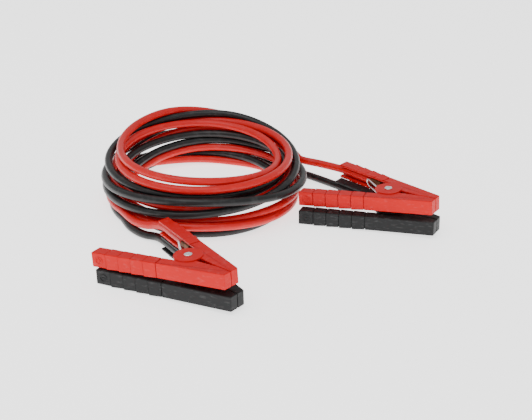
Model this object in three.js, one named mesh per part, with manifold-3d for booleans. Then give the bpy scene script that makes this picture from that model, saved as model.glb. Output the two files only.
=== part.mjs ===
// Booster cable set: a red and a black cable wound together in one loose round coil,
// with a spring clamp on each of the four cable ends. Millimetres, +Z up.
// The clamps lie on their sides in two stacked pairs, black below and red on top.
import * as THREE from 'three';
import { mergeVertices } from 'three/addons/utils/BufferGeometryUtils.js';
import Module from 'manifold-3d';

const wasm = await Module();
wasm.setup();

// Clearances
const seatGap = 0.3;
const slideGap = 0.3;
const swingGap = 0.4;

// Clamp arms, seen along the rivet: the jaws point to +X and the arms open to -X
const armLength = 165;
const armThickness = 18;
const armWall = 2.4;
const halfSplay = THREE.MathUtils.degToRad(16.6);
const jawReach = 64;
const jawHalfWidth = 10.5;
const handleDepth = 14;
const endSlant = 2.2;
const partingGap = 0.3;
const jawContactLength = 22;
const throatHalfWidth = 3.4;
const throatReach = 19;
const throatInset = 10;

// Finger grips on the outside of each handle
const firstGrip = 18.5;
const gripPitch = 15.9;
const gripCount = 4;
const gripSwell = 0.9;

// Pivot: the cable arm's ears lie outside, the free arm's ears inside them
const outerEarRadius = 16.4;
const innerEarRadius = 15;
const earThickness = 2.4;
const earStep = 1.1;
const pivotSides = 28;

// Rivet and torsion spring
const rivetRadius = 2.5;
const rivetHeadRadius = 4.7;
const rivetHeadHeight = 1.1;
const rivetSides = 18;
const springWireRadius = 1;
const springCoilRadius = 5.2;
const springLegFoot = 80;
const springSides = 18;

// Metal jaw contacts and the crimp that holds the cable
const contactThickness = 1.2;
const contactBack = 22;
const toothPitch = 4;
const toothDepth = 1.4;
const toothGap = 0.8;
const strapHalfWidth = 3.5;
const crimpRadius = 5.6;
const crimpLength = 18;
const crimpStart = 58;

// Cables
const cableDiameter = 10;
const cableSides = 10;
const cableStepsPerLead = 16;

// Loose coil that both cables share: half section from the floor up, as [radius, height]
const coilCentre = [-93.9, 135];
const coilOuter = [[122, 0], [128, 6], [132.5, 22], [132.5, 44], [126, 64], [116, 82]];
const coilInner = [[96, 82], [97, 60], [101, 30], [102, 0]];
const coilSides = 48;

// Where the two pairs of clamps lie, and how each red clamp sits on its black one
const nearPair = { x: -87.8, y: -110.6, yaw: -40.6, shiftX: -4.3, shiftY: -1.6, turn: -1.6 };
const farPair = { x: 140.9, y: 52.7, yaw: -31, shiftX: -2.6, shiftY: 5.2, turn: -4.1 };
const stackGap = 0.5;

// Derived sizes of the clamp
const armHalf = armThickness / 2;
const pocketHalf = armHalf - armWall;
const outerEarTop = armHalf + earStep;
const outerEarBase = outerEarTop - earThickness;
const innerEarTop = outerEarBase - slideGap;
const innerEarBase = innerEarTop - earThickness;
const rivetTop = outerEarTop + seatGap + rivetHeadHeight;
const alongArm = new THREE.Vector2(Math.cos(halfSplay), Math.sin(halfSplay));
const acrossArm = new THREE.Vector2(-Math.sin(halfSplay), Math.cos(halfSplay));
const jawCorner = new THREE.Vector2(jawReach, -jawHalfWidth);
const handleCorner = jawCorner.clone().addScaledVector(alongArm, -armLength);
const pivotAlong = -handleCorner.dot(alongArm);
const gripEnd = firstGrip + gripCount * gripPitch;

// Point of an arm, from how far it lies along the outer face and how deep inside it
function armPoint(along, depth) {
  return handleCorner.clone().addScaledVector(alongArm, along).addScaledVector(acrossArm, depth);
}

function alongAt(x, depth) {
  return (x - handleCorner.x + depth * Math.sin(halfSplay)) / Math.cos(halfSplay);
}

function toSolid(geometry) {
  const bare = geometry.index ? geometry.toNonIndexed() : geometry.clone();
  bare.deleteAttribute('normal');
  bare.deleteAttribute('uv');
  const merged = mergeVertices(bare, 1e-4);
  const mesh = new wasm.Mesh({
    numProp: 3,
    vertProperties: new Float32Array(merged.attributes.position.array),
    triVerts: new Uint32Array(merged.index.array),
  });
  return new wasm.Manifold(mesh);
}

function toGeometry(solid) {
  const mesh = solid.getMesh();
  const geometry = new THREE.BufferGeometry();
  geometry.setAttribute('position', new THREE.BufferAttribute(new Float32Array(mesh.vertProperties), 3));
  geometry.setIndex(new THREE.BufferAttribute(new Uint32Array(mesh.triVerts), 1));
  geometry.computeVertexNormals();
  return geometry;
}

function prism(points, low, high) {
  const geometry = new THREE.ExtrudeGeometry(new THREE.Shape(points), { depth: high - low, bevelEnabled: false });
  return toSolid(geometry.translate(0, 0, low));
}

function slab(points, halfHeight) {
  return prism(points, -halfHeight, halfHeight);
}

function disc(radius, low, high) {
  const geometry = new THREE.CylinderGeometry(radius, radius, high - low, pivotSides);
  return toSolid(geometry.rotateX(Math.PI / 2).translate(0, 0, (low + high) / 2));
}

function bothSides(radius, low, high) {
  return disc(radius, low, high).add(disc(radius, -high, -low));
}

function turned(profile, sides) {
  const points = profile.map(([radius, height]) => new THREE.Vector2(radius, height));
  return new THREE.LatheGeometry(points, sides).rotateX(Math.PI / 2);
}

// Outline of the free arm: grips along the outside, jaw, throat, and the handle's inner edge
function armOutline() {
  const points = [armPoint(0, 0)];
  points.push(armPoint(firstGrip / 2, -gripSwell / 2));
  for (let grip = 0; grip < gripCount; grip += 1) {
    const start = firstGrip + grip * gripPitch;
    points.push(armPoint(start, 0));
    points.push(armPoint(start + gripPitch / 2, -gripSwell));
  }
  points.push(armPoint(gripEnd, 0));
  points.push(jawCorner);
  points.push(new THREE.Vector2(jawReach, -partingGap / 2));
  points.push(new THREE.Vector2(jawReach - jawContactLength, -partingGap / 2));
  points.push(new THREE.Vector2(throatReach, -throatHalfWidth));
  points.push(new THREE.Vector2(throatInset, -throatHalfWidth));
  points.push(armPoint(pivotAlong, handleDepth));
  points.push(armPoint(endSlant, handleDepth));
  return points;
}

// Hollow of the arm, open towards the other arm, from the handle wall to the jaw wall
function pocketOutline(handleWall) {
  const jawWallX = jawReach - armWall;
  const jawStart = alongAt(jawWallX, armWall);
  return [
    armPoint(handleWall, armWall),
    armPoint(jawStart, armWall),
    new THREE.Vector2(jawWallX, jawHalfWidth),
    new THREE.Vector2(0, jawHalfWidth),
    armPoint(handleWall, armLength / 2),
  ];
}

function mirrored(points) {
  return points.map((point) => new THREE.Vector2(point.x, -point.y));
}

function freeArm() {
  const relief = bothSides(outerEarRadius + swingGap, innerEarTop, armThickness);
  const body = slab(armOutline(), armHalf).subtract(slab(pocketOutline(armWall), pocketHalf)).subtract(relief);
  const ears = bothSides(innerEarRadius, innerEarBase, innerEarTop);
  return toGeometry(body.add(ears).subtract(disc(rivetRadius + seatGap, -armThickness, armThickness)));
}

function cableArm() {
  const relief = disc(innerEarRadius + swingGap, -outerEarBase, outerEarBase);
  const hollow = slab(mirrored(pocketOutline(-armWall)), pocketHalf);
  const body = slab(mirrored(armOutline()), armHalf).subtract(hollow).subtract(relief);
  const ears = bothSides(outerEarRadius, outerEarBase, outerEarTop);
  return toGeometry(body.add(ears).subtract(disc(rivetRadius + seatGap, -armThickness, armThickness)));
}

// Channel of sheet metal in the jaw, its base on the arm's wall and its edges toothed
function jawChannel() {
  const base = armWall + seatGap;
  const tip = jawReach - armWall - seatGap;
  const edge = -toothGap / 2;
  const points = [armPoint(alongAt(contactBack, base), base), armPoint(alongAt(tip, base), base)];
  const toothStart = jawReach - jawContactLength;
  const toothCount = Math.floor((tip - toothStart) / toothPitch);
  points.push(new THREE.Vector2(tip, edge));
  for (let tooth = 0; tooth < toothCount; tooth += 1) {
    const top = tip - tooth * toothPitch;
    points.push(new THREE.Vector2(top - toothPitch / 2, edge - toothDepth));
    points.push(new THREE.Vector2(top - toothPitch, edge));
  }
  points.push(new THREE.Vector2(contactBack, -throatHalfWidth - toothDepth));
  const hollow = [
    armPoint(0, base + contactThickness),
    armPoint(armLength, base + contactThickness),
    new THREE.Vector2(jawReach, jawHalfWidth),
    new THREE.Vector2(0, jawHalfWidth),
  ];
  const outside = pocketHalf - seatGap;
  return slab(points, outside).subtract(slab(hollow, outside - contactThickness));
}

function freeContact() {
  return toGeometry(jawChannel());
}

// The cable's contact runs back past the pivot as a strap and ends in the crimp
function cableContact() {
  const base = armWall + seatGap;
  const strap = [
    armPoint(crimpStart, base),
    armPoint(alongAt(contactBack, base) + contactThickness, base),
    armPoint(alongAt(contactBack, base) + contactThickness, base + contactThickness),
    armPoint(crimpStart, base + contactThickness),
  ];
  const flat = jawChannel().add(slab(strap, strapHalfWidth));
  const mirror = new THREE.Matrix4().makeScale(1, -1, 1);
  const barrelAt = armPoint(crimpStart + crimpLength / 2, base + crimpRadius);
  const barrel = new THREE.CylinderGeometry(crimpRadius, crimpRadius, crimpLength, rivetSides);
  barrel.rotateZ(halfSplay - Math.PI / 2).translate(barrelAt.x, barrelAt.y, 0);
  return toGeometry(flat.add(toSolid(barrel)).transform(mirror.elements));
}

function rivet() {
  const shankTop = rivetTop - rivetHeadHeight;
  return turned([
    [0, -rivetTop], [rivetHeadRadius, -rivetTop], [rivetHeadRadius, -shankTop], [rivetRadius, -shankTop],
    [rivetRadius, shankTop], [rivetHeadRadius, shankTop], [rivetHeadRadius, rivetTop], [0, rivetTop],
  ], rivetSides);
}

// Spring leg from the coil's rim to a foot on the arm's wall, as a bent flat bar in plan
function springLeg(footDepth) {
  const foot = armPoint(springLegFoot, footDepth);
  const root = new THREE.Vector2(0, -springCoilRadius).rotateAround(new THREE.Vector2(), -halfSplay);
  const side = foot.clone().sub(root).normalize().rotateAround(new THREE.Vector2(), Math.PI / 2);
  side.multiplyScalar(springWireRadius);
  return [root.clone().add(side), root.clone().sub(side), foot.clone().sub(side), foot.clone().add(side)];
}

function spring() {
  const coilHalf = innerEarBase - slideGap;
  const inside = springCoilRadius - springWireRadius;
  const outside = springCoilRadius + springWireRadius;
  const coil = turned([
    [inside, -coilHalf], [outside, -coilHalf], [outside, coilHalf], [inside, coilHalf], [inside, -coilHalf],
  ], springSides);
  const freeFoot = armWall + seatGap + springWireRadius;
  const cableFoot = freeFoot + contactThickness + seatGap;
  const freeLeg = slab(springLeg(freeFoot), springWireRadius);
  const cableLeg = slab(mirrored(springLeg(cableFoot)), springWireRadius);
  return toGeometry(toSolid(coil).add(freeLeg).add(cableLeg));
}

const red = { color: 0xe0403a, roughness: 0.5, metalness: 0 };
const black = { color: 0x343535, roughness: 0.55, metalness: 0 };
const zinc = { color: 0xc4c6c8, roughness: 0.35, metalness: 1 };
const copper = { color: 0xb8734a, roughness: 0.4, metalness: 1 };

function part(name, geometry, finish) {
  const mesh = new THREE.Mesh(geometry, new THREE.MeshStandardMaterial(finish));
  mesh.name = name;
  return mesh;
}

function clamp(name, plastic) {
  const group = new THREE.Group();
  group.add(part(`${name}_cable_arm`, cableArm(), plastic));
  group.add(part(`${name}_free_arm`, freeArm(), plastic));
  group.add(part(`${name}_rivet`, rivet(), zinc));
  group.add(part(`${name}_spring`, spring(), zinc));
  group.add(part(`${name}_cable_contact`, cableContact(), copper));
  group.add(part(`${name}_free_contact`, freeContact(), copper));
  return group;
}

// A clamp on its side rests on its rivet head and on the ends of its two handles
const endReach = -handleCorner.x;
const restTilt = Math.atan((rivetTop - armHalf) / (endReach - rivetHeadRadius));
const stackStep = 2 * rivetTop + stackGap;
const stackTilt = Math.asin((stackStep - armThickness - seatGap) / Math.hypot(handleCorner.x, handleCorner.y));

function tiltUp(group, angle) {
  group.rotation.y = -angle;
}

function clampPair(name, place) {
  const spot = new THREE.Group();
  spot.position.set(place.x, place.y, endReach * Math.sin(restTilt) + armHalf * Math.cos(restTilt));
  spot.rotation.z = THREE.MathUtils.degToRad(place.yaw);
  const lying = new THREE.Group();
  tiltUp(lying, restTilt);
  lying.add(clamp(`${name}_black`, black));
  const raised = new THREE.Group();
  raised.position.set(place.shiftX, place.shiftY, stackStep);
  raised.rotation.z = THREE.MathUtils.degToRad(place.turn);
  const leaning = new THREE.Group();
  tiltUp(leaning, stackTilt);
  leaning.add(clamp(`${name}_red`, red));
  raised.add(leaning);
  lying.add(raised);
  spot.add(lying);
  return spot;
}

const set = new THREE.Group();
set.add(clampPair('near', nearPair));
set.add(clampPair('far', farPair));
set.updateMatrixWorld(true);

// The coil of both cables
function coilGeometry(gap) {
  const outer = coilOuter.map(([radius, height]) => [radius + gap, height + (height > 0 ? gap : -gap)]);
  const inner = coilInner.map(([radius, height]) => [radius - gap, height + (height > 0 ? gap : -gap)]);
  const ring = turned([...outer, ...inner, outer[0]], coilSides);
  return ring.translate(coilCentre[0], coilCentre[1], 0);
}

set.add(part('cable_coil', toGeometry(toSolid(coilGeometry(0))), red));

// The cable's end in a clamp: the crimp's face, then the mouth of the handle
const crimpDepth = armWall + seatGap + crimpRadius;

function clampPoints(name) {
  const frame = set.getObjectByName(`${name}_cable_arm`).matrixWorld;
  return [crimpStart - seatGap, (crimpStart + endSlant) / 2, endSlant].map((along) => {
    const flat = armPoint(along, crimpDepth);
    return new THREE.Vector3(flat.x, -flat.y, 0).applyMatrix4(frame);
  });
}

function lead(name, route, finish) {
  const points = clampPoints(name).concat(route.map((place) => new THREE.Vector3(...place)));
  const curve = new THREE.CatmullRomCurve3(points, false, 'centripetal');
  const section = new THREE.Shape();
  for (let side = 0; side < cableSides; side += 1) {
    const angle = (side / cableSides) * 2 * Math.PI;
    const corner = [Math.cos(angle) * cableDiameter / 2, Math.sin(angle) * cableDiameter / 2];
    if (side === 0) section.moveTo(...corner);
    else section.lineTo(...corner);
  }
  const tube = new THREE.ExtrudeGeometry(section, { extrudePath: curve, steps: cableStepsPerLead });
  const free = toSolid(tube).subtract(toSolid(coilGeometry(seatGap)));
  return part(`${name}_lead`, toGeometry(free), finish);
}

// Each route runs from the clamp to where the cable joins the coil
const nearRedRoute = [[-140, 2, 24], [-153, 11.5, 19.5], [-168, 28, 16], [-187, 58, 15.9]];
const nearBlackRoute = [[-139, 4, 7], [-155, 13, 5.5], [-172.5, 31, 5.2], [-186.5, 59, 5.2]];
const farRedRoute = [[82, 162, 27.3], [62, 176, 26.5], [36, 192, 26], [8, 205, 25.5]];
const farBlackRoute = [[76, 153.5, 8.2], [62, 168, 7.4], [45, 183, 7], [20, 200, 6.5]];

set.add(lead('near_red', nearRedRoute, red));
set.add(lead('near_black', nearBlackRoute, black));
set.add(lead('far_red', farRedRoute, red));
set.add(lead('far_black', farBlackRoute, black));

export default set;
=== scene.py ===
import math

import bmesh
import bpy
import numpy as np
from mathutils import Matrix, Vector


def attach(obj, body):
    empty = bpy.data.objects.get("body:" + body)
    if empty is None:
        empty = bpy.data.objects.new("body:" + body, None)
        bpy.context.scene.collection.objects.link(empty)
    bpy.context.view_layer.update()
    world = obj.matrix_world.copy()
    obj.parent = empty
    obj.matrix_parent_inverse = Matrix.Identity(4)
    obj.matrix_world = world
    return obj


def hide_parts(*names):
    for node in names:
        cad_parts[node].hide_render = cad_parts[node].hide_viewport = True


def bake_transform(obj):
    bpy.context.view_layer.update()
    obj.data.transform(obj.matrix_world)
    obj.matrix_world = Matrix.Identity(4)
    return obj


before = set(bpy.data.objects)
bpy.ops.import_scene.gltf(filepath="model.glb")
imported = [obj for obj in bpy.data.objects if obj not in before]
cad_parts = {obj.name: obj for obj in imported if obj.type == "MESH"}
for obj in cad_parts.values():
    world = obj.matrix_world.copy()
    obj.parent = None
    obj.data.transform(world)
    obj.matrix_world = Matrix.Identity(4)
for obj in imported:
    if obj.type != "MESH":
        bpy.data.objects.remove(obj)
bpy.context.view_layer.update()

MM = 0.001
ROOT = "cable_set"
CLAMPS = ("near_red", "near_black", "far_red", "far_black")

# Shader helpers


class Socket:
    """An output of a material's node tree that can be used in sums."""

    def __init__(self, finish, link):
        self.finish = finish
        self.link = link

    def _math(self, operation, first, second):
        return self.finish.node("ShaderNodeMath", {"operation": operation}, {0: first, 1: second})

    def __add__(self, other):
        return self._math("ADD", self, other)

    __radd__ = __add__

    def __sub__(self, other):
        return self._math("SUBTRACT", self, other)

    def __rsub__(self, other):
        return self._math("SUBTRACT", other, self)

    def __mul__(self, other):
        return self._math("MULTIPLY", self, other)

    __rmul__ = __mul__

    def __pow__(self, other):
        return self._math("POWER", self, other)


class Finish:
    """One material of the set, built from nodes."""

    def __init__(self, name, colour, roughness, metallic=0.0):
        self.material = bpy.data.materials.new(name)
        self.material.use_nodes = True
        self.material.diffuse_color = (*colour, 1)
        self.tree = self.material.node_tree
        self.tree.nodes.clear()
        self.shader = self.tree.nodes.new("ShaderNodeBsdfPrincipled")
        surface = self.tree.nodes.new("ShaderNodeOutputMaterial")
        self.tree.links.new(self.shader.outputs[0], surface.inputs["Surface"])
        self.set("Base Color", (*colour, 1))
        self.set("Roughness", roughness)
        self.set("Metallic", metallic)

    def put(self, socket, value):
        if isinstance(value, Socket):
            self.tree.links.new(value.link, socket)
        else:
            socket.default_value = value

    def set(self, name, value):
        self.put(self.shader.inputs[name], value)

    def node(self, kind, settings=None, values=None, output=0):
        made = self.tree.nodes.new(kind)
        for key, value in (settings or {}).items():
            if key == "stops":
                ramp = made.color_ramp
                for stop, (place, shade) in zip(ramp.elements, value):
                    stop.position = place
                    stop.color = (shade, shade, shade, 1)
            else:
                setattr(made, key, value)
        for key, value in (values or {}).items():
            self.put(made.inputs[key], value)
        return Socket(self, made.outputs[output])

    def place(self):
        return self.node("ShaderNodeTexCoord", output="Object")

    def stretched(self, vector, scale):
        return self.node("ShaderNodeMapping", None, {"Vector": vector, "Scale": scale})

    def noise(self, vector, scale, detail=3.0, roughness=0.5):
        values = {"Vector": vector, "Scale": scale, "Detail": detail, "Roughness": roughness}
        return self.node("ShaderNodeTexNoise", None, values)

    def step(self, value, low, high):
        return self.node("ShaderNodeMapRange", None, {0: value, 1: low, 2: high})

    def blend(self, factor, first, second):
        values = {0: factor, 6: (*first, 1) if isinstance(first, tuple) else first}
        values[7] = (*second, 1) if isinstance(second, tuple) else second
        return self.node("ShaderNodeMix", {"data_type": "RGBA"}, values, 2)

    def attribute(self, name):
        return self.node("ShaderNodeAttribute", {"attribute_name": name}, output="Fac")

    def bump(self, height, strength, distance, under=None):
        values = {"Height": height, "Strength": strength, "Distance": distance}
        if under is not None:
            values["Normal"] = under
        return self.node("ShaderNodeBump", None, values)


def shaded(colour, factor):
    return tuple(min(1.0, part * factor) for part in colour)


def moulded_plastic(name, colour, roughness):
    """Injection-moulded plastic with a fine spark-eroded grain and paler rubbed spots."""
    finish = Finish(name, colour, roughness)
    place = finish.place()
    cloud = finish.noise(place, 28.0, 4.0, 0.6)
    body = finish.blend(finish.step(cloud, 0.3, 0.7), shaded(colour, 0.93), shaded(colour, 1.06))
    flow = finish.noise(finish.stretched(place, (1.0, 1.0, 3.0)), 140.0, 3.0)
    rubbed = finish.step(flow, 0.55, 0.9) * 0.2
    pale = tuple(part + (0.75 - part) * 0.35 for part in colour)
    finish.set("Base Color", finish.blend(rubbed, body, pale))
    finish.set("Roughness", roughness - 0.06 + cloud * 0.12)
    grain = finish.noise(place, 2600.0, 2.0)
    finish.set("Normal", finish.bump(grain, 0.14, 0.00012))
    finish.set("Specular IOR Level", 0.16)
    return finish.material


def soft_sheath(name, colour, roughness):
    """Extruded cable sheath: a satin skin with faint drawing lines along the cable."""
    finish = Finish(name, colour, roughness)
    along = finish.attribute("along")
    around = finish.attribute("around")
    skin = finish.node("ShaderNodeCombineXYZ", None, {0: along * 6.0, 1: around, 2: 0.0})
    place = finish.place()
    cloud = finish.noise(place, 22.0, 3.0, 0.55)
    dust = finish.step(finish.noise(place, 90.0, 5.0, 0.65), 0.52, 0.8)
    body = finish.blend(finish.step(cloud, 0.3, 0.7), shaded(colour, 0.94), shaded(colour, 1.07))
    pale = tuple(part + (0.6 - part) * 0.2 for part in colour)
    finish.set("Base Color", finish.blend(dust * 0.25, body, pale))
    finish.set("Roughness", roughness - 0.05 + cloud * 0.1 + dust * 0.05)
    lines = finish.noise(finish.stretched(skin, (1.0, 60.0, 1.0)), 1.0, 2.0)
    waves = finish.noise(finish.stretched(skin, (9.0, 3.0, 1.0)), 1.0, 2.0)
    fine = finish.noise(place, 1800.0, 2.0)
    low = finish.bump(waves, 0.12, 0.0005)
    middle = finish.bump(lines, 0.05, 0.0002, low)
    finish.set("Normal", finish.bump(fine, 0.06, 0.0001, middle))
    finish.set("Specular IOR Level", 0.35)
    return finish.material


def bright_zinc(name, colour, roughness):
    """Zinc-plated steel with drawn scratches and dull spots."""
    finish = Finish(name, colour, roughness, 1.0)
    place = finish.place()
    spots = finish.noise(place, 420.0, 4.0, 0.6)
    scratches = finish.noise(finish.stretched(place, (1.0, 1.0, 12.0)), 900.0, 2.0)
    dull = finish.step(spots, 0.45, 0.75)
    finish.set("Base Color", finish.blend(dull, shaded(colour, 1.05), shaded(colour, 0.72)))
    finish.set("Roughness", roughness + dull * 0.18)
    finish.set("Normal", finish.bump(scratches, 0.1, 0.0001))
    return finish.material


def plated_copper(name, colour, roughness):
    """Stamped copper-plated sheet, darker where it has tarnished."""
    finish = Finish(name, colour, roughness, 1.0)
    place = finish.place()
    tarnish = finish.step(finish.noise(place, 160.0, 5.0, 0.65), 0.42, 0.72)
    finish.set("Base Color", finish.blend(tarnish, colour, shaded(colour, 0.55)))
    finish.set("Roughness", roughness + tarnish * 0.22)
    rolled = finish.noise(finish.stretched(place, (1.0, 14.0, 1.0)), 500.0, 2.0)
    finish.set("Normal", finish.bump(rolled, 0.1, 0.0001))
    return finish.material


RED = (0.60, 0.003, 0.004)
CHARCOAL = (0.015, 0.0155, 0.016)
red_plastic = moulded_plastic("red_clamp_plastic", RED, 0.42)
black_plastic = moulded_plastic("charcoal_clamp_plastic", CHARCOAL, 0.46)
red_sheath = soft_sheath("red_cable_sheath", (0.60, 0.003, 0.003), 0.36)
black_sheath = soft_sheath("black_cable_sheath", (0.008, 0.0083, 0.0086), 0.36)
zinc = bright_zinc("zinc_plate", (0.80, 0.80, 0.81), 0.22)
# Painted shade: the copper's base colour is kept dark for the shade the contacts sit in, deep in the
# arms' channels.
copper_in_painted_shade = plated_copper("copper_plate", (0.17, 0.075, 0.04), 0.45)

# Camera

PHOTO_WIDTH = 532
camera_data = bpy.data.cameras.new("camera")
camera_data.sensor_width = 36.0
camera_data.lens = 69.16
camera_data.shift_y = 1 / PHOTO_WIDTH
camera_data.clip_start = 0.05
camera = bpy.data.objects.new("camera", camera_data)
bpy.context.scene.collection.objects.link(camera)
camera.location = (-0.0094, -1.07166, 0.57633)
aim = Vector((-0.0094, 0.027, 0.030)) - camera.location
camera.rotation_euler = aim.to_track_quat("-Z", "Y").to_euler()
bpy.context.scene.camera = camera

# Clamp sizes, in millimetres

ARM_LENGTH = 165.0
ARM_HALF = 9.0
ARM_WALL = 2.4
SPLAY = math.radians(16.6)
JAW_REACH = 64.0
JAW_HALF_WIDTH = 10.5
HANDLE_DEPTH = 14.0
END_SLANT = 2.2
JAW_SLIT = 0.45
JAW_CONTACT = 22.0
THROAT_HALF = 3.4
THROAT_REACH = 19.0
THROAT_INSET = 10.0
FIRST_GRIP = 18.5
GRIP_PITCH = 15.9
GRIP_COUNT = 4
GROOVE_HALF = 0.4
OUTER_EAR = (16.4, 7.7, 10.1)
INNER_EAR = (15.0, 5.0, 7.4)
SWING_GAP = 0.4
RIVET_RADIUS = 2.5
RIVET_HEAD = 4.7
RIVET_TOP = 11.5
SPRING_COIL = 5.2
SPRING_WIRE = 1.0
SPRING_FOOT = 80.0
SEAT_GAP = 0.3
CRIMP_START = 58.0
CRIMP_RADIUS = 5.6
STACK_GAP = 0.5

ALONG = np.array([math.cos(SPLAY), math.sin(SPLAY)])
ACROSS = np.array([-math.sin(SPLAY), math.cos(SPLAY)])
HANDLE_CORNER = np.array([JAW_REACH, -JAW_HALF_WIDTH]) - ARM_LENGTH * ALONG
PIVOT_ALONG = float(-HANDLE_CORNER @ ALONG)
GRIP_END = FIRST_GRIP + GRIP_COUNT * GRIP_PITCH


def arm_point(along, depth):
    """Point of the free arm, from how far it lies along the outer face and how deep inside it."""
    return HANDLE_CORNER + along * ALONG + depth * ACROSS


def along_at(x, depth):
    return (x - HANDLE_CORNER[0] + depth * math.sin(SPLAY)) / math.cos(SPLAY)


# Where the clamps lie

END_REACH = -HANDLE_CORNER[0]
REST_TILT = math.atan((RIVET_TOP - ARM_HALF) / (END_REACH - RIVET_HEAD))
STACK_STEP = 2 * RIVET_TOP + STACK_GAP
STACK_TILT = math.asin((STACK_STEP - 2 * ARM_HALF - SEAT_GAP) / math.hypot(*HANDLE_CORNER))
PAIRS = {
    "near": ((-87.8, -110.6), -40.6, (-4.3, -1.6), -1.6),
    "far": ((140.9, 52.7), -31.0, (-2.6, 5.2), -4.1),
}


def clamp_place(clamp):
    """From the clamp's own millimetres to the frame's metres."""
    pair, colour = clamp.split("_")
    (x, y), yaw, (shift_x, shift_y), turn = PAIRS[pair]
    height = END_REACH * math.sin(REST_TILT) + ARM_HALF * math.cos(REST_TILT)
    place = Matrix.Translation((x, y, height)) @ Matrix.Rotation(math.radians(yaw), 4, "Z")
    place = place @ Matrix.Rotation(-REST_TILT, 4, "Y")
    if colour == "red":
        place = place @ Matrix.Translation((shift_x, shift_y, STACK_STEP))
        place = place @ Matrix.Rotation(math.radians(turn), 4, "Z")
        place = place @ Matrix.Rotation(-STACK_TILT, 4, "Y")
    return Matrix.Scale(MM, 4) @ place


# Cables

CABLE = 0.010
VIEW_TILT = math.radians(26.4)
COIL_CENTRE = np.array([-93.9, 135.0])
SLICE = 5.0
SLICES_PER_TURN = 72
EASING = 30.0
PUSH_SHARE = 0.6
PULL_SHARE = 0.05
HOLD = 0.999
PATH_STEP = 0.006
CABLE_SIDES = 20

# Points of each cable between its clamp and the coil, in millimetres
LEADS = {
    "near_red": [(-140, 2, 24), (-153, 11.5, 19.5), (-168, 28, 16), (-187, 58, 15.9)],
    "near_black": [(-139, 4, 7), (-155, 13, 5.5), (-172.5, 31, 5.2), (-186.5, 59, 5.2)],
    "far_red": [(82, 162, 27.3), (62, 176, 26.5), (36, 192, 26)],
    "far_black": [(76, 153.5, 8.2), (62, 168, 7.4), (45, 183, 7), (20, 200, 6.5)],
}

# How far out and how high each turn lies at the back, right, front and left of the coil
FIRST_LEFT = {"red": (117, 14), "black": (112, 5)}
TURNS = {
    "red": [
        [(101, 7), (121, 6), (127, 18), (103, 9)],
        [(104, 24), (125, 19), (117, 21), (105, 27)],
        [(112, 50), (115, 40), (117, 37), (111, 42)],
        [(120, 58), (114, 57), (116, 61), (103, 60)],
        [(108, 58), (100, 52), (108, 69), (101, 70)],
    ],
    "black": [
        [(107, 14), (112, 6), (124, 8), (100, 19)],
        [(104, 34), (132, 31), (126, 50), (122, 36)],
        [(122, 42), (108, 34), (106, 40), (103, 37)],
        [(106, 43), (108, 47), (111, 50), (117, 55)],
        [(117, 68), (123, 48), (126, 34), (121, 24)],
    ],
}
LAST_BACK = {"red": (127, 68), "black": (118, 12)}


def in_clamp(clamp):
    """Points of the cable from the crimp to the mouth of the handle, in millimetres."""
    points = []
    for along in (CRIMP_START - SEAT_GAP, (CRIMP_START + END_SLANT) / 2, END_SLANT):
        x, y = arm_point(along, ARM_WALL + SEAT_GAP + CRIMP_RADIUS)
        points.append(clamp_place(clamp) @ Vector((x, -y, 0)) / MM)
    return np.array(points)


def seen_from_centre(point, turns_done):
    """How far round, how far out and how high a point lies; round counts up clockwise."""
    x, y = np.array(point[:2]) - COIL_CENTRE
    return [360 * turns_done - math.degrees(math.atan2(y, x)), math.hypot(x, y), point[2]]


def turns(colour):
    """Radius and height of a cable at every slice of the coil that it crosses."""
    passes = [FIRST_LEFT[colour]] + sum(TURNS[colour], []) + [LAST_BACK[colour]]
    table = [seen_from_centre(LEADS[f"near_{colour}"][-1], -1)]
    for quarter, (radius, height) in enumerate(passes):
        table.append([90 * quarter - 180, radius, height])
    table.append(seen_from_centre(LEADS[f"far_{colour}"][-1], len(TURNS[colour])))
    table = np.array(table)
    at = table[:, 0]
    slices = np.arange(math.floor(at[0] / SLICE) + 1, math.ceil(at[-1] / SLICE))
    where = slices * SLICE
    index = np.clip(np.searchsorted(at, where, side="right") - 1, 0, len(at) - 2)
    span = at[index + 1] - at[index]
    part = (where - at[index]) / span
    columns = []
    for values in (table[:, 1], table[:, 2]):
        slope = np.gradient(values, at)
        columns.append(
            (2 * part**3 - 3 * part**2 + 1) * values[index]
            + (part**3 - 2 * part**2 + part) * span * slope[index]
            + (3 * part**2 - 2 * part**3) * values[index + 1]
            + (part**3 - part**2) * span * slope[index + 1]
        )
    return slices, np.stack(columns, axis=1)


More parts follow.
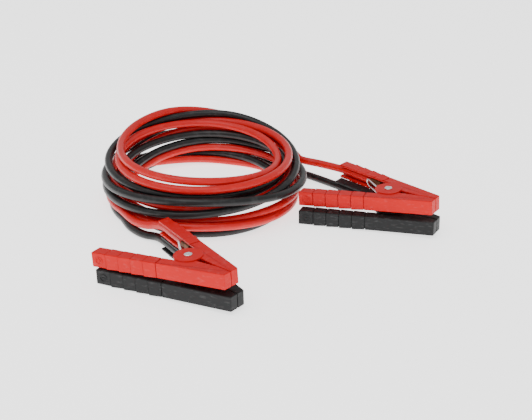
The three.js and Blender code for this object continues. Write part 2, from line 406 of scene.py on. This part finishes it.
def settled(cables, clearance=10.15, rounds=1500):
    """Lets the turns push each other apart, slice by slice.

    What moves a turn across the view is pulled back, so a turn keeps its place in the photo."""
    slices = np.concatenate([cable[0] for cable in cables])
    home = np.concatenate([cable[1] for cable in cables])
    first = len(cables[0][0])
    own = np.arange(len(slices)) < first
    angle = slices * SLICE
    last = np.where(own, angle[own].max(), angle[~own].max())
    free = np.clip(np.minimum(angle - angle.min(), last - angle) / EASING, 0, 1)[:, None]
    across = np.cos(np.radians(angle))
    rise = -np.sin(np.radians(angle)) * math.sin(VIEW_TILT)
    upright = math.cos(VIEW_TILT)
    members = [np.nonzero(slices % SLICES_PER_TURN == s)[0] for s in range(SLICES_PER_TURN)]
    widest = max(len(group) for group in members)
    grid = np.full((SLICES_PER_TURN, widest), -1)
    for row, group in enumerate(members):
        grid[row, : len(group)] = group
    filled = grid >= 0
    pairs = filled[:, :, None] & filled[:, None, :] & ~np.eye(widest, dtype=bool)
    shift = np.zeros_like(home)
    lowest = CABLE / 2 / MM
    for _ in range(rounds):
        place = (home + shift)[grid]
        apart = place[:, :, None] - place[:, None]
        distance = np.linalg.norm(apart, axis=3) + 1e-6
        weight = np.where(pairs & (distance < clearance), (clearance - distance) / distance / 2, 0)
        push = (apart * weight[..., None]).sum(axis=2)
        step = np.zeros_like(shift)
        np.add.at(step, grid[filled], push[filled])
        shift += PUSH_SHARE * step
        even = shift.copy()
        even[1:-1] = (shift[:-2] + 2 * shift[1:-1] + shift[2:]) / 4
        for end in (0, first - 1, first, len(shift) - 1):
            even[end] = shift[end]
        seen = rise * even[:, 0] + upright * even[:, 1]
        pull = np.stack([across**2 * even[:, 0] + rise * seen, upright * seen], axis=1)
        shift = free * (even * HOLD - PULL_SHARE * pull)
        shift[:, 1] = np.maximum(shift[:, 1], lowest - home[:, 1])
    turn = np.radians(-angle)
    ring = home + shift
    x = COIL_CENTRE[0] + ring[:, 0] * np.cos(turn)
    y = COIL_CENTRE[1] + ring[:, 0] * np.sin(turn)
    points = np.stack([x, y, ring[:, 1]], axis=1)
    return points[:first], points[first:]


def smooth_line(points, spacing):
    """The points joined by one smooth curve, with new points a spacing apart."""
    points = np.asarray(points, float)
    before = np.vstack([2 * points[0] - points[1], points, 2 * points[-1] - points[-2]])
    step = np.sqrt(np.linalg.norm(np.diff(before, axis=0), axis=1))
    fine = []
    for k in range(1, len(before) - 2):
        p0, p1, p2, p3 = before[k - 1 : k + 3]
        a, b, c = step[k - 1 : k + 2]
        m1 = (p1 - p0) / a - (p2 - p0) / (a + b) + (p2 - p1) / b
        m2 = (p2 - p1) / b - (p3 - p1) / (b + c) + (p3 - p2) / c
        for t in np.arange(12) / 12:
            fine.append(
                (2 * t**3 - 3 * t**2 + 1) * p1 + (t**3 - 2 * t**2 + t) * m1 * b
                + (3 * t**2 - 2 * t**3) * p2 + (t**3 - t**2) * m2 * b
            )
    fine.append(points[-1])
    fine = np.array(fine)
    along = np.concatenate([[0], np.cumsum(np.linalg.norm(np.diff(fine, axis=0), axis=1))])
    at = np.linspace(0, along[-1], round(along[-1] / spacing) + 1)
    return np.stack([np.interp(at, along, fine[:, axis]) for axis in range(3)], axis=1)


# Geometry node trees


class Tree:
    """A Geometry Nodes tree with named inputs."""

    def __init__(self, name, inputs):
        self.group = bpy.data.node_groups.new(name, "GeometryNodeTree")
        face = self.group.interface
        face.new_socket("Geometry", in_out="INPUT", socket_type="NodeSocketGeometry")
        self.names = {}
        for label, (kind, value) in inputs.items():
            socket = face.new_socket(label, in_out="INPUT", socket_type=kind)
            if value is not None:
                socket.default_value = value
            self.names[label] = socket.identifier
        face.new_socket("Geometry", in_out="OUTPUT", socket_type="NodeSocketGeometry")
        self.entry = self.group.nodes.new("NodeGroupInput")
        self.exit = self.group.nodes.new("NodeGroupOutput")

    def input(self, label):
        return self.entry.outputs[label]

    def node(self, kind, settings=None, values=None):
        made = self.group.nodes.new(kind)
        for key, value in (settings or {}).items():
            setattr(made, key, value)
        for key, value in (values or {}).items():
            if isinstance(value, bpy.types.NodeSocket):
                self.group.links.new(value, made.inputs[key])
            else:
                made.inputs[key].default_value = value
        return made

    def finish(self, geometry, material):
        real = self.node("GeometryNodeRealizeInstances", None, {0: geometry})
        values = {"Geometry": real.outputs[0], "Material": material}
        dressed = self.node("GeometryNodeSetMaterial", None, values)
        self.group.links.new(dressed.outputs[0], self.exit.inputs[0])


def sweep_tree():
    """A round section drawn along a line of points."""
    tree = Tree("round_section", {
        "Radius": ("NodeSocketFloat", 0.001),
        "Sides": ("NodeSocketInt", 16),
        "Finish": ("NodeSocketMaterial", None),
    })
    rail = tree.node("GeometryNodeMeshToCurve", None, {0: tree.input("Geometry")})
    length = tree.node("GeometryNodeSplineParameter")
    marked = tree.node("GeometryNodeStoreNamedAttribute", {"domain": "POINT"}, {
        "Geometry": rail.outputs[0], "Name": "along", "Value": length.outputs["Length"],
    })
    circle = tree.node("GeometryNodeCurvePrimitiveCircle", None, {
        "Resolution": tree.input("Sides"), "Radius": tree.input("Radius"),
    })
    share = tree.node("GeometryNodeSplineParameter")
    ringed = tree.node("GeometryNodeStoreNamedAttribute", {"domain": "POINT"}, {
        "Geometry": circle.outputs[0], "Name": "around", "Value": share.outputs["Factor"],
    })
    tube = tree.node("GeometryNodeCurveToMesh", None, {
        "Curve": marked.outputs[0], "Profile Curve": ringed.outputs[0], "Fill Caps": True,
    })
    tree.finish(tube.outputs[0], tree.input("Finish"))
    return tree


section_tree = sweep_tree()


def placed(name, mesh):
    piece = bpy.data.objects.new(name, mesh)
    bpy.context.scene.collection.objects.link(piece)
    return piece


def baked(piece):
    """The mesh that a piece's modifiers make, with the modifiers taken off."""
    bpy.context.view_layer.update()
    made = bpy.data.meshes.new_from_object(
        piece.evaluated_get(bpy.context.evaluated_depsgraph_get())
    )
    piece.modifiers.clear()
    return made


def grown(name, mesh, tree, **inputs):
    """A plain mesh of what a tree makes from a mesh."""
    piece = placed(name, mesh)
    modifier = piece.modifiers.new("tree", "NODES")
    modifier.node_group = tree.group
    for label, value in inputs.items():
        modifier[tree.names[label]] = value
    piece.data = baked(piece)
    piece.data.name = name
    return piece


def line_mesh(name, points):
    mesh = bpy.data.meshes.new(name)
    mesh.from_pydata([tuple(p) for p in points], [(k, k + 1) for k in range(len(points) - 1)], [])
    return mesh


def smooth_faces(piece, angle=35):
    """Soft shading, with an edge where two faces meet at more than the angle."""
    mesh = bmesh.new()
    mesh.from_mesh(piece.data)
    for face in mesh.faces:
        face.smooth = True
    for edge in mesh.edges:
        edge.smooth = len(edge.link_faces) == 2 and edge.calc_face_angle(0) < math.radians(angle)
    mesh.to_mesh(piece.data)
    mesh.free()


def round_bar(name, points, radius, sides, finish):
    piece = grown(name, line_mesh(name, points), section_tree, Radius=radius, Sides=sides, Finish=finish)
    smooth_faces(piece)
    return piece


red_coil, black_coil = settled([turns("red"), turns("black")])
cable_lines = {
    colour: np.vstack([
        in_clamp(f"near_{colour}"), LEADS[f"near_{colour}"], coil,
        LEADS[f"far_{colour}"][::-1], in_clamp(f"far_{colour}")[::-1],
    ])
    for colour, coil in (("red", red_coil), ("black", black_coil))
}
for colour, sheath in (("red", red_sheath), ("black", black_sheath)):
    path = smooth_line(cable_lines[colour] * MM, PATH_STEP)
    cable = round_bar(f"{colour}_cable", path, CABLE / 2, CABLE_SIDES, sheath)
    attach(cable, ROOT)
    nodes = [f"near_{colour}_lead", f"far_{colour}_lead"]
    if colour == "red":
        nodes.append("cable_coil")
    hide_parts(*nodes)

# Solids for the clamps


def rounded_outline(corners, steps=5):
    """Closed outline from corners given as (x, y, radius)."""
    points = []
    for k, (x, y, radius) in enumerate(corners):
        here = np.array([x, y], float)
        if not radius:
            points.append(here)
            continue
        back = np.array(corners[k - 1][:2], float) - here
        ahead = np.array(corners[(k + 1) % len(corners)][:2], float) - here
        short = min(np.linalg.norm(back), np.linalg.norm(ahead))
        back /= np.linalg.norm(back)
        ahead /= np.linalg.norm(ahead)
        half = math.acos(float(np.clip(back @ ahead, -1, 1))) / 2
        reach = min(radius / math.tan(half), 0.45 * short)
        centre = here + (back + ahead) / np.linalg.norm(back + ahead) * reach / math.cos(half)
        first = here + back * reach - centre
        last = here + ahead * reach - centre
        sweep = math.pi - 2 * half
        for t in np.linspace(0, 1, steps + 1):
            turn = math.sin((1 - t) * sweep) * first + math.sin(t * sweep) * last
            points.append(centre + turn / math.sin(sweep))
    return np.array(points)


def inset(outline, amount):
    """The outline moved inwards, corner by corner. It runs anticlockwise."""
    ahead = np.roll(outline, -1, axis=0) - outline
    ahead /= np.linalg.norm(ahead, axis=1)[:, None]
    normal = np.stack([ahead[:, 1], -ahead[:, 0]], axis=1)
    before = np.roll(normal, 1, axis=0)
    mitre = (normal + before) / (1 + (normal * before).sum(axis=1))[:, None]
    return outline - amount * mitre


def lofted(rings, name="solid"):
    """Closed solid through rings that have the same number of points."""
    mesh = bmesh.new()
    rows = [[mesh.verts.new(point) for point in ring] for ring in rings]
    for low, high in zip(rows, rows[1:]):
        for k in range(len(low)):
            j = (k + 1) % len(low)
            mesh.faces.new((low[k], low[j], high[j], high[k]))
    mesh.faces.new(rows[0][::-1])
    mesh.faces.new(rows[-1])
    bmesh.ops.recalc_face_normals(mesh, faces=mesh.faces)
    return from_bmesh(mesh, name)


def from_bmesh(mesh, name):
    made = bpy.data.meshes.new(name)
    mesh.to_mesh(made)
    mesh.free()
    return placed(name, made)


def rim_levels(low, high, rim, steps=4):
    """Heights and insets of the rings of a slab with rounded rims."""
    if not rim:
        return [(low, 0.0), (high, 0.0)]
    turns = [math.radians(90 * k / steps) for k in range(steps + 1)]
    rise = [(rim * (1 - math.cos(t)), rim * (1 - math.sin(t))) for t in turns]
    return [(low + up, side) for up, side in rise] + [(high - up, side) for up, side in rise[::-1]]


def slab(outline, low, high, rim=0.0, flip=False):
    """Flat solid with this outline, seen from above; flip mirrors it to the cable arm's side."""
    side = np.array([1, -1 if flip else 1])
    rings = []
    for height, narrower in rim_levels(low, high, rim):
        ring = inset(outline, narrower) * side if narrower else outline * side
        rings.append([(x, y, height) for x, y in ring])
    return lofted(rings)


def circle(radius, sides=72, centre=(0.0, 0.0)):
    turns = np.arange(sides) * 2 * math.pi / sides
    return np.stack([centre[0] + radius * np.cos(turns), centre[1] + radius * np.sin(turns)], axis=1)


def turned(profile, sides=64, name="turned"):
    """Solid turned about Z; the profile's first and last points lie on the axis, or it is a ring."""
    mesh = bmesh.new()
    rows = []
    for radius, height in profile:
        if radius == 0:
            rows.append([mesh.verts.new((0, 0, height))] * sides)
        else:
            rows.append([mesh.verts.new((x, y, height)) for x, y in circle(radius, sides)])
    ring = profile[0][0] > 0
    for low, high in zip(rows, rows[1:] + ([rows[0]] if ring else [])):
        for k in range(sides):
            j = (k + 1) % sides
            corners = dict.fromkeys((low[k], low[j], high[j], high[k]))
            mesh.faces.new(list(corners))
    bmesh.ops.recalc_face_normals(mesh, faces=mesh.faces)
    return from_bmesh(mesh, name)


def worked(base, additions=(), cutters=()):
    """The base with the additions joined on and then the cutters taken out."""
    steps = [(tool, "UNION") for tool in additions]
    steps += [(tool, "DIFFERENCE") for tool in cutters]
    for tool, operation in steps:
        change = base.modifiers.new(operation, "BOOLEAN")
        change.solver = "MANIFOLD"
        change.operation = operation
        change.object = tool
    base.data = baked(base)
    for tool, _ in steps:
        bpy.data.objects.remove(tool)
    return base


# Clamp arms


def handle_ring(along, proud, side_proud, narrower, flip):
    """Section of a handle at one place along it, a little narrower at a segment's ends."""
    outer = -proud + narrower
    inner = HANDLE_DEPTH - narrower
    half = ARM_HALF + side_proud - narrower
    corners = [(outer, -half, 1.2), (inner, -half, 0.6), (inner, half, 0.6), (outer, half, 1.2)]
    ring = []
    for depth, height in rounded_outline(corners):
        slant = END_SLANT * max(depth, 0) / HANDLE_DEPTH * max(0.0, 1 - along / FIRST_GRIP)
        x, y = arm_point(along + slant, depth)
        ring.append((x, -y if flip else y, height))
    return ring


def handle_segment(start, end, proud, side_proud, flip, soft=0.35):
    """One grip segment, proud at the handle end and lower towards the jaws."""
    rings = []
    ends = [(start, 0, soft), (start, 0.3, 0.3 * soft), (start, 1, 0)]
    ends += [(end, -1, 0), (end, -0.3, 0.3 * soft), (end, 0, soft)]
    for near, share, narrower in ends:
        along = near + share * soft
        part = (along - start) / (end - start)
        out = proud[0] + (proud[1] - proud[0]) * part
        side = side_proud[0] + (side_proud[1] - side_proud[0]) * part
        rings.append(handle_ring(along, out, side, narrower, flip))
    return lofted(rings)


def outer_face_piece(outline, base, top, flip):
    """Low relief on the outer face: the outline lies in the face, as (along, height)."""
    rings = []
    for depth in (base, top):
        ring = []
        for along, height in outline:
            x, y = arm_point(along, depth)
            ring.append((x, -y if flip else y, height))
        rings.append(ring)
    return lofted(rings)


def box_outline(middle, half_along, half_high):
    """Rectangle on the outer face, anticlockwise."""
    low, high = middle - half_along, middle + half_along
    return [(low, -half_high), (high, -half_high), (high, half_high), (low, half_high)]


def polarity_sign(positive, flip):
    """A raised ring with a plus or a minus in it, on the end of the handle."""
    middle = FIRST_GRIP / 2
    out, into = -0.75, 0.6
    pieces = []
    ring = turned([(3.9, -into), (4.5, -into), (4.5, -out), (3.9, -out)], 48)
    for vertex in ring.data.vertices:
        along, height, rise = vertex.co
        x, y = arm_point(along + middle, -rise)
        vertex.co = (x, -y if flip else y, height)
    shell = bmesh.new()
    shell.from_mesh(ring.data)
    bmesh.ops.recalc_face_normals(shell, faces=shell.faces)
    shell.to_mesh(ring.data)
    shell.free()
    pieces.append(ring)
    long, thick = 2.5, 0.55
    pieces.append(outer_face_piece(box_outline(middle, long, thick), into, out, flip))
    if positive:
        pieces.append(outer_face_piece(box_outline(middle, thick, long), into, out - 0.002, flip))
    return pieces


def throat_scallops(flip):
    """Small rounded teeth along the cable arm's edge of the throat."""
    pieces = []
    slope = (THROAT_HALF - JAW_SLIT) / (JAW_REACH - JAW_CONTACT - THROAT_REACH)
    for x in (24.0, 28.2, 32.4, 36.6):
        edge = THROAT_HALF - (x - THROAT_REACH) * slope
        for low, high in ((ARM_HALF - ARM_WALL, ARM_HALF - 0.3), (-ARM_HALF + 0.3, -ARM_HALF + ARM_WALL)):
            pieces.append(slab(circle(1.25, 24, (x, -edge - 0.45)), low, high, 0.0, flip))
    return pieces


def clamp_arm(kind, positive):
    """One plastic arm of a clamp: a channel open towards the other arm, with its two ears."""
    flip = kind == "cable"
    body_start = GRIP_END + GROOVE_HALF
    corners = [
        (*arm_point(body_start, 0), 0.3),
        (JAW_REACH, -JAW_HALF_WIDTH, 1.7),
        (JAW_REACH, -JAW_SLIT, 0.5),
        (JAW_REACH - JAW_CONTACT, -JAW_SLIT, 4.0),
        (THROAT_REACH, -THROAT_HALF, 1.5),
        (THROAT_INSET, -THROAT_HALF, 1.5),
        (*arm_point(PIVOT_ALONG, HANDLE_DEPTH), 1.5),
        (*arm_point(body_start, HANDLE_DEPTH), 0.3),
    ]
    jaw = slab(rounded_outline(corners), -ARM_HALF, ARM_HALF, 0.9, flip)
    core = [handle_ring(along, -1.1, -1.0, 0.0, flip) for along in (0.8, GRIP_END + 4)]
    parts = [lofted(core)]
    parts.append(handle_segment(0, FIRST_GRIP - GROOVE_HALF, (0.25, 0.25), (0.0, 0.0), flip, 0.6))
    for grip in range(GRIP_COUNT):
        start = FIRST_GRIP + grip * GRIP_PITCH
        parts.append(handle_segment(
            start + GROOVE_HALF, start + GRIP_PITCH - GROOVE_HALF, (1.25, 0.15), (0.42, 0.0), flip,
        ))
    parts += polarity_sign(positive, flip)
    if kind == "cable":
        parts += throat_scallops(flip)
    wall_x = JAW_REACH - ARM_WALL
    handle_wall = -ARM_WALL * 2 if kind == "cable" else ARM_WALL
    pocket = np.array([
        arm_point(handle_wall, ARM_WALL),
        arm_point(along_at(wall_x, ARM_WALL), ARM_WALL),
        (wall_x, JAW_HALF_WIDTH),
        (0, JAW_HALF_WIDTH),
        arm_point(handle_wall, ARM_LENGTH / 2),
    ])
    hollow = slab(pocket, -ARM_HALF + ARM_WALL, ARM_HALF - ARM_WALL, 0.0, flip)
    arm = worked(jaw, parts, [hollow])
    if kind == "cable":
        relief = [slab(circle(INNER_EAR[0] + SWING_GAP), -OUTER_EAR[1], OUTER_EAR[1])]
        radius, base, top = OUTER_EAR
    else:
        wide = circle(OUTER_EAR[0] + SWING_GAP)
        relief = [slab(wide, INNER_EAR[2], 2 * ARM_HALF), slab(wide, -2 * ARM_HALF, -INNER_EAR[2])]
        radius, base, top = INNER_EAR
    arm = worked(arm, (), relief)
    rim = 0.45
    profile = [(0, base), (radius, base)]
    for t in [math.radians(90 * k / 4) for k in range(5)]:
        profile.append((radius - rim * (1 - math.cos(t)), top - rim * (1 - math.sin(t))))
    profile.append((0, top))
    ears = [turned([(r, side * z) for r, z in profile], 96) for side in (1, -1)]
    hole = slab(circle(RIVET_RADIUS + SEAT_GAP, 48), -2 * ARM_HALF, 2 * ARM_HALF)
    return worked(arm, ears, [hole])


def even_normals(piece, angle=40):
    """Soft shading on rounded rims that leaves flat faces flat."""
    smooth_faces(piece, angle)
    weight = piece.modifiers.new("normals", "WEIGHTED_NORMAL")
    weight.keep_sharp = True
    weight.weight = 100
    piece.data = baked(piece)


def fitted(pattern, name, place, finish, body, node, angle=40):
    """A copy of a clamp piece in its place, instead of the plain solid."""
    piece = placed(name, pattern.data.copy())
    piece.data.transform(place)
    piece.data.materials.clear()
    piece.data.materials.append(finish)
    even_normals(piece, angle)
    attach(piece, body)
    if node:
        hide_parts(node)
    return piece


# Rivet and spring


def rivet_pattern():
    """Tubular rivet: a low rolled head with a dimple at both ends."""
    head = [
        (0, 10.3), (1.1, 10.3), (1.25, 11.0), (1.5, 11.32), (1.9, 11.46), (2.6, 11.48), (3.5, 11.36),
        (4.2, 11.12), (4.6, 10.8), (RIVET_HEAD, 10.5), (RIVET_HEAD, 10.4), (RIVET_RADIUS, 10.4),
    ]
    return turned(head + [(radius, -height) for radius, height in head[::-1]], 48, "rivet")


def tangent_angle(foot, side):
    """Angle at which a leg from the foot meets the spring's coil."""
    away = math.hypot(*foot)
    return math.atan2(foot[1], foot[0]) + side * math.acos(SPRING_COIL / away)


def coil_points(first, last, low, high, step=12):
    """Points of the spring's coil from one angle to another while it climbs."""
    count = max(2, round(abs(math.degrees(last - first)) / step))
    points = []
    for k in range(count + 1):
        angle = first + (last - first) * k / count
        height = low + (high - low) * k / count
        points.append((SPRING_COIL * math.cos(angle), SPRING_COIL * math.sin(angle), height))
    return points


def bar_pattern(name, points):
    """A length of spring wire along the points."""
    line = line_mesh(name, smooth_line(points, WIRE_STEP))
    return grown(name, line, section_tree, Radius=SPRING_WIRE, Sides=WIRE_SIDES, Finish=zinc)


WIRE_STEP = 0.5
WIRE_SIDES = 14
OUTSIDE = 3.65
MIDDLE = 1.05
BRIDGE_ALONG = 55.0
BRIDGE_DEPTH = 14.4
BRIDGE_HALF = 4.0


def spring_patterns():
    """A double torsion spring: a bridge in the cable arm, and two coils with a leg in the free arm."""
    free_depth = ARM_WALL + SEAT_GAP + SPRING_WIRE
    free_foot = arm_point(SPRING_FOOT, free_depth)
    cable_foot = arm_point(BRIDGE_ALONG, BRIDGE_DEPTH) * np.array([1, -1])
    meets_cable = tangent_angle(cable_foot, 1)
    meets_free = tangent_angle(free_foot, -1) + 2 * math.pi
    bridge = []
    for side in (-1, 1):
        start = (SPRING_COIL * math.cos(meets_cable), SPRING_COIL * math.sin(meets_cable))
        leg = [(start[0], start[1], side * OUTSIDE)]
        for share in (0.35, 0.7, 0.93):
            spot = np.array(start) + (cable_foot - start) * share
            leg.append((*spot, side * (OUTSIDE + (BRIDGE_HALF - OUTSIDE) * share)))
        leg.append((*cable_foot, side * (BRIDGE_HALF - 1.0)))
        bridge = bridge + (leg if side < 0 else leg[::-1])
    coils = []
    for side in (-1, 1):
        turns_of_coil = coil_points(meets_cable, meets_free, side * OUTSIDE, side * MIDDLE)
        end = np.array(turns_of_coil[-1][:2])
        leg = [(*(end + (free_foot - end) * share), side * MIDDLE) for share in (0.3, 0.65, 1.0)]
        coils.append(bar_pattern("spring_coil", np.array(turns_of_coil + leg)))
    return bar_pattern("spring_bridge", np.array(bridge)), coils[0], coils[1]


arms = {
    (kind, positive): clamp_arm(kind, positive)
    for kind in ("cable", "free") for positive in (True, False)
}
rivet = rivet_pattern()
bridge, low_coil, high_coil = spring_patterns()

for clamp in CLAMPS:
    place = clamp_place(clamp)
    positive = clamp.endswith("red")
    plastic = red_plastic if positive else black_plastic
    jaw_body = f"{clamp}_jaw"
    for kind, body in (("cable", ROOT), ("free", jaw_body)):
        name = f"{clamp}_{kind}_handle"
        fitted(arms[kind, positive], name, place, plastic, body, f"{clamp}_{kind}_arm")
    fitted(rivet, f"{clamp}_tube_rivet", place, zinc, ROOT, f"{clamp}_rivet", 30)
    fitted(bridge, f"{clamp}_spring_bridge", place, zinc, ROOT, f"{clamp}_spring", 50)
    for name, pattern, side in (("low", low_coil, -1), ("high", high_coil, 1)):
        coil = placed(f"{clamp}_spring_{name}_coil", pattern.data.copy())
        coil.data.transform(place)
        smooth_faces(coil, 50)
        start = place @ Vector((0, 0, side * OUTSIDE))
        end = place @ Vector((0, 0, side * MIDDLE))
        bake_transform(coil)
    # The contacts take the copper whose colour is kept dark as painted shade.
    for node in ("cable_contact", "free_contact"):
        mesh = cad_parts[f"{clamp}_{node}"].data
        mesh.materials.clear()
        mesh.materials.append(copper_in_painted_shade)

for pattern in [*arms.values(), rivet, bridge, low_coil, high_coil]:
    bpy.data.objects.remove(pattern)

# Floor and light

white = Finish("white_table", (0.9, 0.9, 0.9), 0.6)
white_place = white.place()
speck = white.noise(white_place, 60.0, 3.0)
white.set("Base Color", white.blend(speck, (0.93, 0.93, 0.93), (0.95, 0.95, 0.95)))
white.set("Emission Color", (1, 1, 1, 1))
white.set("Emission Strength", 1.7)
ground = bmesh.new()
bmesh.ops.create_grid(ground, x_segments=8, y_segments=8, size=6)
ground_mesh = bpy.data.meshes.new("floor")
ground.to_mesh(ground_mesh)
ground.free()
ground_mesh.materials.append(white.material)
floor = placed("floor", ground_mesh)
floor.location.z = -0.0002

world = bpy.data.worlds.new("studio")
world.use_nodes = True
world.node_tree.nodes["Background"].inputs["Color"].default_value = (1, 1, 1, 1)
world.node_tree.nodes["Background"].inputs["Strength"].default_value = 0.8
bpy.context.scene.world = world


def softbox(name, place, target, size, power):
    data = bpy.data.lights.new(name, "AREA")
    data.shape = "RECTANGLE"
    data.size, data.size_y = size
    data.energy = power
    lamp = bpy.data.objects.new(name, data)
    bpy.context.scene.collection.objects.link(lamp)
    lamp.location = place
    lamp.rotation_euler = (Vector(target) - Vector(place)).to_track_quat("-Z", "Y").to_euler()


softbox("key_light", (-0.5, -0.5, 1.9), (0, 0.05, 0), (1.6, 1.2), 16)
softbox("front_light", (0.4, -1.8, 0.9), (0, 0, 0.03), (1.4, 0.9), 1.5)
